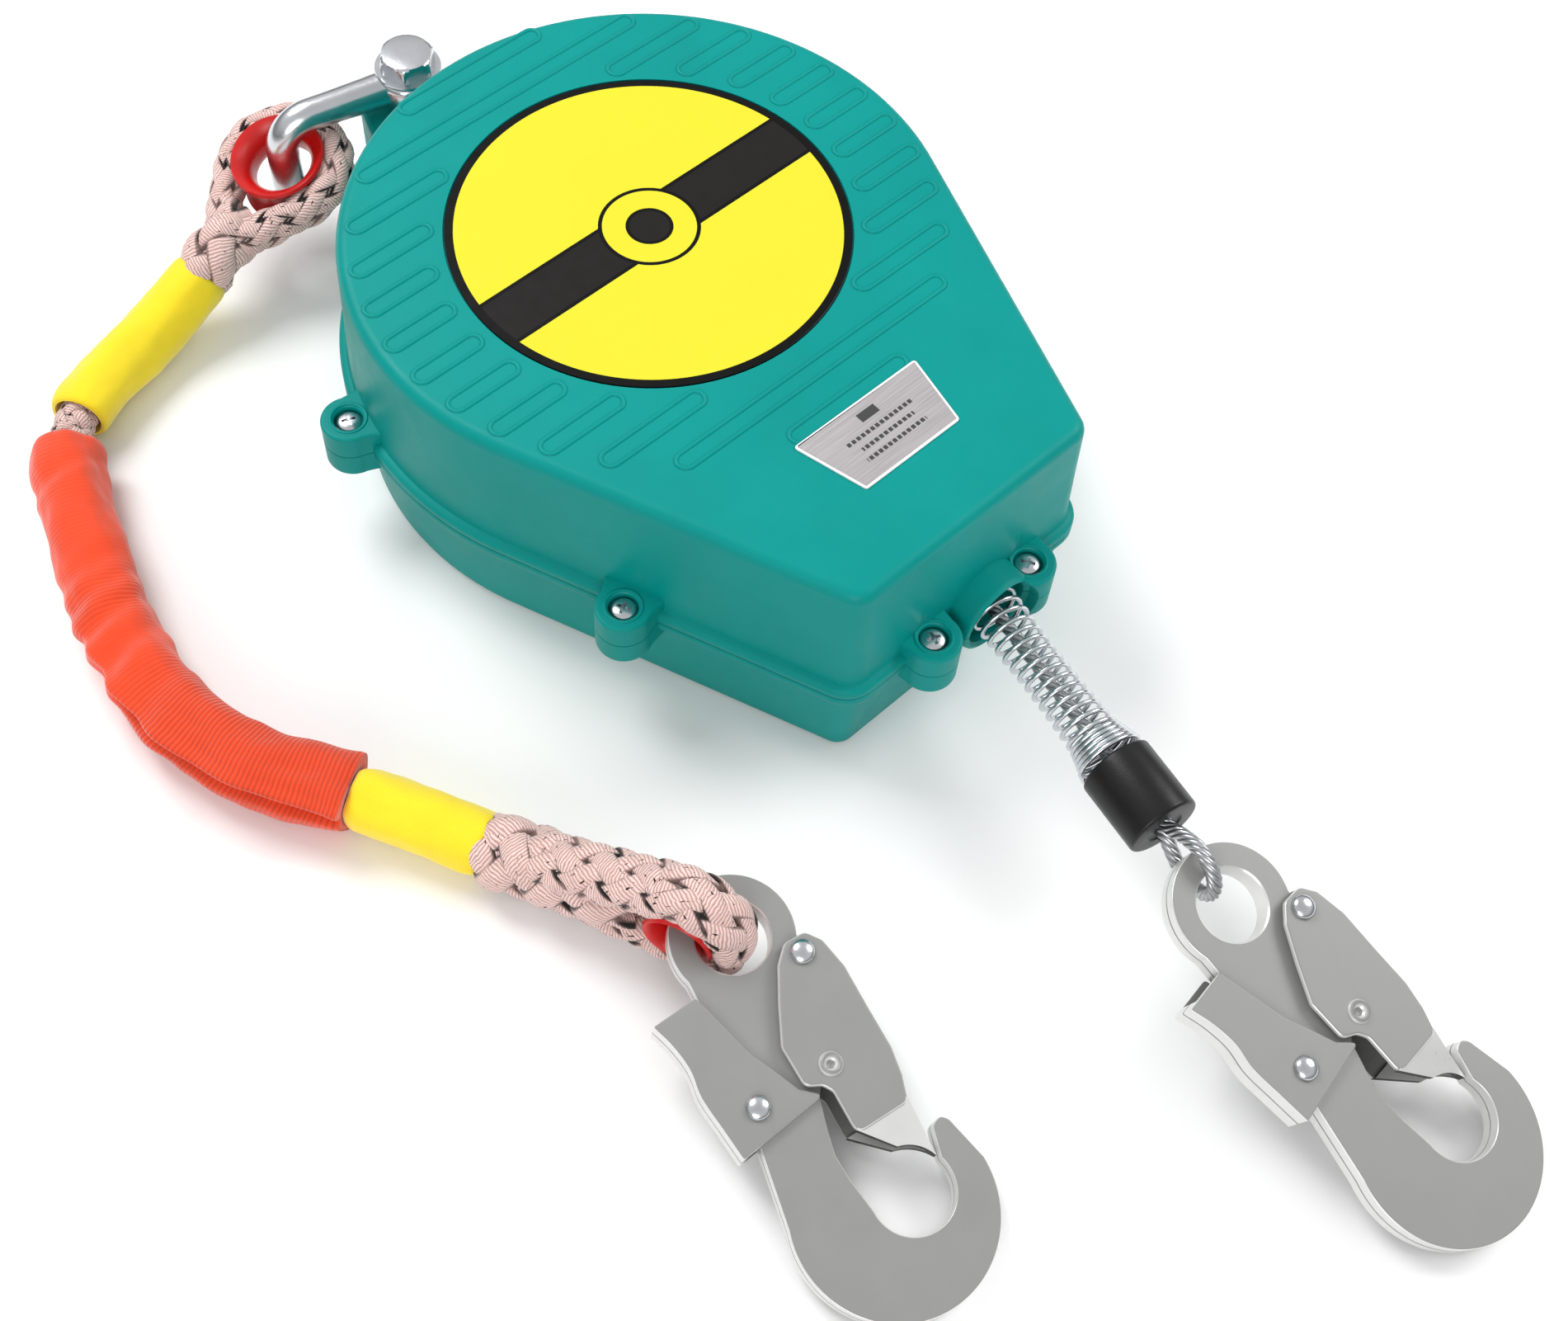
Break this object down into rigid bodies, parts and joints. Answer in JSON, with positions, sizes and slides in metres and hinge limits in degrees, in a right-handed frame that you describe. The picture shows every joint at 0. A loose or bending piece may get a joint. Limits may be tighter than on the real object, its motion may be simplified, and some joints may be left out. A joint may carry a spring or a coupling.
{
  "type": "self retracting lifeline",
  "caption": "Self retracting lifeline: a teal case with a wire line, buffer spring and snap hook, and a shackle holding a sleeved rope lanyard with a second snap hook.",
  "frame": {"origin": "on the drum's axis, at the flat back face that the case lies on", "axes": "+Z out of the front face with the label, -Y along the case to the nozzle that the line leaves, +Y to the hanger and its shackle, +X to the right of the front face"},
  "size_m": [0.3154, 0.5384, 0.0868],
  "materials": {
    "teal_plastic": "satin moulded, with a fine texture",
    "label_film": "printed yellow film",
    "nameplate": "brushed, clear coated",
    "zinc": "bright zinc plate",
    "hook_steel": "matte grey zinc plate",
    "machined_steel": "plain machined",
    "cast_alloy": "as cast",
    "friction": "dull moulded friction material",
    "black_rubber": "matte moulded",
    "black_nylon": "moulded",
    "bronze": "sintered",
    "red_nylon": "moulded",
    "webbing": "ribbed weave",
    "yellow_fabric": "coated weave",
    "rope": "braided polyester with dark flecks"
  },
  "bodies": {
    "case": {"rear_shell": "teal_plastic", "front_shell": "teal_plastic", "case_screw_1": "zinc", "case_screw_2": "zinc", "case_screw_3": "zinc", "case_screw_4": "zinc", "case_screw_5": "zinc", "case_screw_6": "zinc", "front_label": "label_film", "nameplate": "nameplate", "frame_plate_rear": "machined_steel", "frame_plate_front": "machined_steel", "hanger_block": "teal_plastic", "axle": "machined_steel", "brake_lining": "friction", "ratchet_ring": "machined_steel", "nozzle_bush": "black_nylon"},
    "drum": {"cable_drum": "cast_alloy", "drum_bush_rear": "bronze", "drum_bush_front": "bronze", "wire_winding": "zinc", "spring_cup": "machined_steel", "spring_cover": "machined_steel", "power_spring": "machined_steel", "pawl_pin_a": "zinc", "pawl_pin_b": "zinc"},
    "pawl_a": {"pawl_a": "machined_steel"},
    "pawl_b": {"pawl_b": "machined_steel"},
    "line": {"line_wire": "zinc", "buffer_spring": "zinc", "stopper": "black_rubber", "ferrule": "cast_alloy", "line_loop": "zinc"},
    "line_hook": {"line_hook_body": "hook_steel", "line_gate_rivet": "zinc", "line_lever_rivet": "zinc", "line_gate_spring": "zinc"},
    "line_gate": {"line_gate": "hook_steel"},
    "line_lever": {"line_lever": "hook_steel"},
    "shackle": {"shackle_bow": "zinc", "shackle_bolt": "zinc", "shackle_nut": "zinc", "shackle_split_pin": "zinc"},
    "lanyard": {"thimble_upper": "red_nylon", "rope_eye_upper": "rope", "lanyard_rope": "rope", "sleeve_upper": "yellow_fabric", "webbing_sleeve": "webbing", "sleeve_lower": "yellow_fabric", "rope_eye_lower": "rope", "thimble_lower": "red_nylon"},
    "lanyard_hook": {"lanyard_hook_body": "hook_steel", "lanyard_gate_rivet": "zinc", "lanyard_lever_rivet": "zinc", "lanyard_gate_spring": "zinc"},
    "lanyard_gate": {"lanyard_gate": "hook_steel"},
    "lanyard_lever": {"lanyard_lever": "hook_steel"}
  },
  "joints": [
    {"name": "drum_spin", "type": "hinge", "parent": "case", "child": "drum", "pos_m": [0, 0, 0.037], "axis": [0, 0, 1], "range_deg": [-127, 0]},
    {"name": "line_payout", "type": "slide", "parent": "case", "child": "line", "axis": [-0.1942, -0.981, 0], "range_m": [0, 0.08], "stiffness_N_per_m": 60, "springref_m": -0.15},
    {"name": "pawl_a_swing", "type": "hinge", "parent": "drum", "child": "pawl_a", "pos_m": [0.019, 0.03291, 0], "axis": [0, 0, 1], "range_deg": [-24, 0], "stiffness_Nm_per_rad": 0.01, "springref_deg": 11.46},
    {"name": "pawl_b_swing", "type": "hinge", "parent": "drum", "child": "pawl_b", "pos_m": [-0.019, -0.03291, 0], "axis": [0, 0, 1], "range_deg": [-24, 0], "stiffness_Nm_per_rad": 0.01, "springref_deg": 11.46},
    {"name": "line_hook_swing", "type": "hinge", "parent": "line", "child": "line_hook", "pos_m": [-0.01404, -0.25625, 0.037], "axis": [0, 0, 1], "range_deg": [-25, 25]},
    {"name": "line_lever_press", "type": "hinge", "parent": "line_hook", "child": "line_lever", "pos_m": [-0.03173, -0.30845, 0.02264], "axis": [0.0165, -0.255, 0.9668], "range_deg": [-8, 0]},
    {"name": "line_gate_open", "type": "hinge", "parent": "line_hook", "child": "line_gate", "pos_m": [0.00033, -0.27731, 0.03031], "axis": [0.0165, -0.255, 0.9668], "range_deg": [-11.2, 0], "stiffness_Nm_per_rad": 0.1, "springref_deg": 17.19},
    {"name": "shackle_swing", "type": "hinge", "parent": "case", "child": "shackle", "pos_m": [0, 0.124, 0.037], "axis": [0, 0, 1], "range_deg": [-150, 4]},
    {"name": "lanyard_swing", "type": "hinge", "parent": "shackle", "child": "lanyard", "pos_m": [-0.04657, 0.13561, 0.037], "axis": [0, 0, 1], "range_deg": [-45, 4]},
    {"name": "lanyard_hook_swing", "type": "hinge", "parent": "lanyard", "child": "lanyard_hook", "pos_m": [-0.12749, -0.16192, 0.0253], "axis": [0, 0, 1], "range_deg": [-4, 4]},
    {"name": "lanyard_lever_press", "type": "hinge", "parent": "lanyard_hook", "child": "lanyard_lever", "pos_m": [-0.14973, -0.21432, 0.01611], "axis": [-0.0262, -0.162, 0.9864], "range_deg": [-8, 0]},
    {"name": "lanyard_gate_open", "type": "hinge", "parent": "lanyard_hook", "child": "lanyard_gate", "pos_m": [-0.11144, -0.19054, 0.02103], "axis": [-0.0262, -0.162, 0.9864], "range_deg": [-11.2, 0], "stiffness_Nm_per_rad": 0.1, "springref_deg": 17.19}
  ],
  "couplings": [
    {"joint": "line_payout", "follows": "drum_spin", "m_per_rad": -0.036},
    {"joint": "line_gate_open", "follows": "line_lever_press", "ratio": 1.4},
    {"joint": "lanyard_gate_open", "follows": "lanyard_lever_press", "ratio": 1.4}
  ]
}
